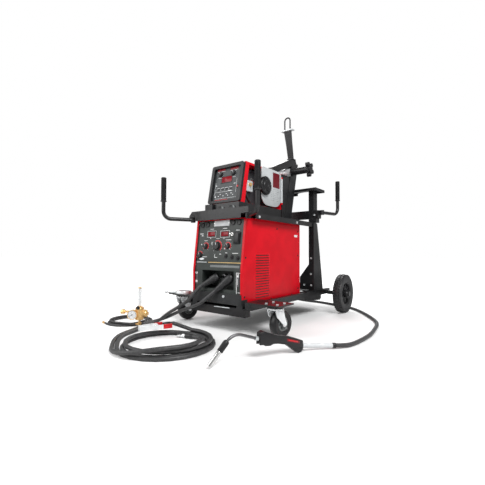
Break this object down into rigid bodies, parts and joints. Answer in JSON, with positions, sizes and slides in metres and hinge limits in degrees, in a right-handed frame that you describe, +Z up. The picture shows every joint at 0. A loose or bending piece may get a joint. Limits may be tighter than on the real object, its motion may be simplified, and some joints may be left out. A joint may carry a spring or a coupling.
{
  "type": "wheeled welding power source with wire feeder",
  "caption": "Welding power source on a wheeled cart with a wire feeder, spool spindle and lifting bail on top, fold-out handles, and welding gun, clamp, lug, hose and regulator on the floor.",
  "frame": {"origin": "on the floor, in the middle of the footprint of the machine and the loose pieces, without the cords", "axes": "+Z up, -Y the machine's front with the controls, +X the machine's right side"},
  "size_m": [1.5393, 2.1561, 1.5047],
  "materials": {
    "red_paint": "gloss red enamel",
    "cart_paint": "semi-gloss black powder coat",
    "panel_paint": "satin dark grey-green paint",
    "pan_paint": "satin dark grey paint",
    "zinc": "bright zinc plate",
    "bare_steel": "brushed",
    "silver_paint": "satin silver paint",
    "nickel": "bright plate",
    "black_plastic": "fine-grained black",
    "panel_plastic": "satin dark grey film",
    "red_plastic": "gloss red",
    "cable_rubber": "matt black jacket",
    "wheel_rubber": "matt black tread with a grey hub",
    "tyre_rubber": "matt black tread on a black rim",
    "brass": "satin",
    "core_iron": "laminated iron with copper windings",
    "drive_alloy": "die cast"
  },
  "bodies": {
    "cart": {"base_frame": "cart_paint", "side_columns": "cart_paint", "feeder_shelf": "cart_paint", "cross_box": "cart_paint", "bottle_bracket": "cart_paint", "frame_bolts": "zinc", "power_case": "red_paint", "power_base": "pan_paint", "power_front": "panel_paint", "power_rear": "panel_paint", "output_lugs": "cable_rubber", "panel_fittings": "panel_plastic", "inverter_core": "core_iron", "feeder_case": "red_paint", "feeder_bezel": "black_plastic", "feeder_panel": "panel_plastic", "drive_unit": "drive_alloy", "reel_stand": "cart_paint", "lift_bail": "cart_paint", "gun_neck": "nickel", "gun_handle": "black_plastic", "clamp_lower": "nickel", "regulator_body": "brass", "hose_fitting": "brass", "cable_lug": "nickel", "work_cable": "cable_rubber", "work_coil": "cable_rubber", "electrode_cable": "cable_rubber", "gas_hose": "cable_rubber", "gun_cable": "cable_rubber", "gun_coil": "cable_rubber", "gun_connector": "brass"},
    "caster_left": {"caster_fork_left": "zinc"},
    "caster_right": {"caster_fork_right": "zinc"},
    "caster_tread_left": {"caster_wheel_left": "wheel_rubber"},
    "caster_tread_right": {"caster_wheel_right": "wheel_rubber"},
    "rear_wheel_l": {"rear_wheel_left": "tyre_rubber"},
    "rear_wheel_r": {"rear_wheel_right": "tyre_rubber"},
    "front_handle_l": {"handle_front_left": "cart_paint"},
    "front_handle_r": {"handle_front_right": "cart_paint"},
    "rear_handle_l": {"handle_rear_left": "cart_paint"},
    "rear_handle_r": {"handle_rear_right": "cart_paint"},
    "main_knob": {"output_knob": "black_plastic"},
    "arc_knob_l": {"arc_knob_left": "black_plastic"},
    "arc_knob_r": {"arc_knob_right": "black_plastic"},
    "selector": {"mode_selector": "black_plastic"},
    "switch_lever": {"power_switch": "nickel"},
    "fan": {"cooling_fan": "black_plastic"},
    "feed_knob_l": {"feeder_knob_left": "black_plastic"},
    "feed_knob_r": {"feeder_knob_right": "black_plastic"},
    "push_button": {"feeder_button": "red_plastic"},
    "drive_roller": {"drive_roll": "bare_steel"},
    "idle_roller": {"idle_roll": "bare_steel"},
    "roller_arm": {"pressure_arm": "red_paint"},
    "cover": {"drive_cover": "silver_paint"},
    "cover_turn_knob": {"cover_knob": "black_plastic"},
    "hub": {"spindle_hub": "black_plastic"},
    "trigger": {"gun_trigger": "black_plastic"},
    "clamp_arm": {"clamp_upper": "nickel"},
    "flow_valve": {"valve_knob": "black_plastic"}
  },
  "joints": [
    {"name": "caster_left_swivel", "type": "hinge", "parent": "cart", "child": "caster_left", "pos_m": [-0.48441, -0.2872, 0.15], "axis": [0, 0, 1], "continuous": true},
    {"name": "caster_left_spin", "type": "hinge", "parent": "caster_left", "child": "caster_tread_left", "pos_m": [-0.47815, -0.24264, 0.076], "axis": [0.9903, -0.1392, 0], "continuous": true},
    {"name": "rear_wheel_left_spin", "type": "hinge", "parent": "cart", "child": "rear_wheel_l", "pos_m": [-0.48441, 0.71079, 0.152], "axis": [1, 0, 0], "continuous": true},
    {"name": "caster_right_swivel", "type": "hinge", "parent": "cart", "child": "caster_right", "pos_m": [0.28559, -0.2872, 0.15], "axis": [0, 0, 1], "continuous": true},
    {"name": "caster_right_spin", "type": "hinge", "parent": "caster_right", "child": "caster_tread_right", "pos_m": [0.29185, -0.24264, 0.076], "axis": [0.9903, -0.1392, 0], "continuous": true},
    {"name": "rear_wheel_right_spin", "type": "hinge", "parent": "cart", "child": "rear_wheel_r", "pos_m": [0.28559, 0.71079, 0.152], "axis": [1, 0, 0], "continuous": true},
    {"name": "front_handle_left_pivot", "type": "hinge", "parent": "cart", "child": "front_handle_l", "pos_m": [-0.32941, -0.3372, 0.6887], "axis": [0, 0, 1], "range_deg": [-58, 12]},
    {"name": "front_handle_right_pivot", "type": "hinge", "parent": "cart", "child": "front_handle_r", "pos_m": [0.13059, -0.3372, 0.6887], "axis": [0, 0, 1], "range_deg": [-35, 35]},
    {"name": "rear_handle_left_pivot", "type": "hinge", "parent": "cart", "child": "rear_handle_l", "pos_m": [-0.40941, 0.48429, 0.7807], "axis": [0, 0, 1], "range_deg": [-22, 45]},
    {"name": "rear_handle_right_pivot", "type": "hinge", "parent": "cart", "child": "rear_handle_r", "pos_m": [0.21059, 0.48429, 0.7807], "axis": [0, 0, 1], "range_deg": [-45, 22]},
    {"name": "output_knob_turn", "type": "hinge", "parent": "cart", "child": "main_knob", "pos_m": [-0.11341, -0.33241, 0.51208], "axis": [0, -0.9934, 0.1146], "range_deg": [-135, 135]},
    {"name": "arc_knob_left_turn", "type": "hinge", "parent": "cart", "child": "arc_knob_l", "pos_m": [-0.21341, -0.33241, 0.51208], "axis": [0, -0.9934, 0.1146], "range_deg": [-135, 135]},
    {"name": "arc_knob_right_turn", "type": "hinge", "parent": "cart", "child": "arc_knob_r", "pos_m": [-0.02641, -0.33241, 0.51208], "axis": [0, -0.9934, 0.1146], "range_deg": [-135, 135]},
    {"name": "mode_selector_turn", "type": "hinge", "parent": "cart", "child": "selector", "pos_m": [-0.26141, -0.33899, 0.45508], "axis": [0, -0.9934, 0.1146], "range_deg": [-60, 60]},
    {"name": "power_switch_throw", "type": "hinge", "parent": "cart", "child": "switch_lever", "pos_m": [0.00559, -0.33018, 0.58377], "axis": [1, 0, 0], "range_deg": [-12, 12]},
    {"name": "cooling_fan_spin", "type": "hinge", "parent": "cart", "child": "fan", "pos_m": [-0.09941, 0.2708, 0.425], "axis": [0, -1, 0], "continuous": true},
    {"name": "feeder_knob_left_turn", "type": "hinge", "parent": "cart", "child": "feed_knob_l", "pos_m": [-0.15941, -0.25147, 0.98279], "axis": [0, -0.982, 0.1888], "continuous": true},
    {"name": "feeder_knob_right_turn", "type": "hinge", "parent": "cart", "child": "feed_knob_r", "pos_m": [-0.04941, -0.25224, 0.97879], "axis": [0, -0.982, 0.1888], "continuous": true},
    {"name": "feeder_button_press", "type": "slide", "parent": "cart", "child": "push_button", "axis": [0, 0.982, -0.1888], "range_m": [0, 0.0015], "stiffness_N_per_m": 400, "springref_m": -0.0012},
    {"name": "drive_roll_spin", "type": "hinge", "parent": "cart", "child": "drive_roller", "pos_m": [0.00059, -0.1422, 0.8975], "axis": [1, 0, 0], "continuous": true},
    {"name": "pressure_arm_lift", "type": "hinge", "parent": "cart", "child": "roller_arm", "pos_m": [-0.01941, -0.10021, 0.9365], "axis": [1, 0, 0], "range_deg": [-40, 0]},
    {"name": "idle_roll_spin", "type": "hinge", "parent": "roller_arm", "child": "idle_roller", "pos_m": [0.00059, -0.1422, 0.9365], "axis": [1, 0, 0], "continuous": true},
    {"name": "drive_cover_swing", "type": "hinge", "parent": "cart", "child": "cover", "pos_m": [0.04089, 0.1788, 0.917], "axis": [0, 0, 1], "range_deg": [0, 95]},
    {"name": "cover_knob_turn", "type": "hinge", "parent": "cover", "child": "cover_turn_knob", "pos_m": [0.05059, -0.05321, 0.917], "axis": [1, 0, 0], "range_deg": [0, 90]},
    {"name": "spool_hub_spin", "type": "hinge", "parent": "cart", "child": "hub", "pos_m": [0.12659, 0.2808, 1.072], "axis": [1, 0, 0], "continuous": true},
    {"name": "gun_trigger_press", "type": "hinge", "parent": "cart", "child": "trigger", "pos_m": [0.42619, -0.60774, 0.072], "axis": [0.9336, -0.3584, 0], "range_deg": [0, 6], "stiffness_Nm_per_rad": 0.9, "springref_deg": -5.16},
    {"name": "work_clamp_open", "type": "hinge", "parent": "cart", "child": "clamp_arm", "pos_m": [-0.22483, -0.70246, 0.0615], "axis": [0, 0, -1], "range_deg": [-14, 0], "stiffness_Nm_per_rad": 6, "springref_deg": 5.73},
    {"name": "flow_valve_turn", "type": "hinge", "parent": "cart", "child": "flow_valve", "pos_m": [-0.50489, -0.63004, 0.126], "axis": [0.622, -0.783, 0], "continuous": true}
  ],
  "couplings": [
    {"joint": "idle_roll_spin", "follows": "drive_roll_spin", "ratio": -1}
  ]
}
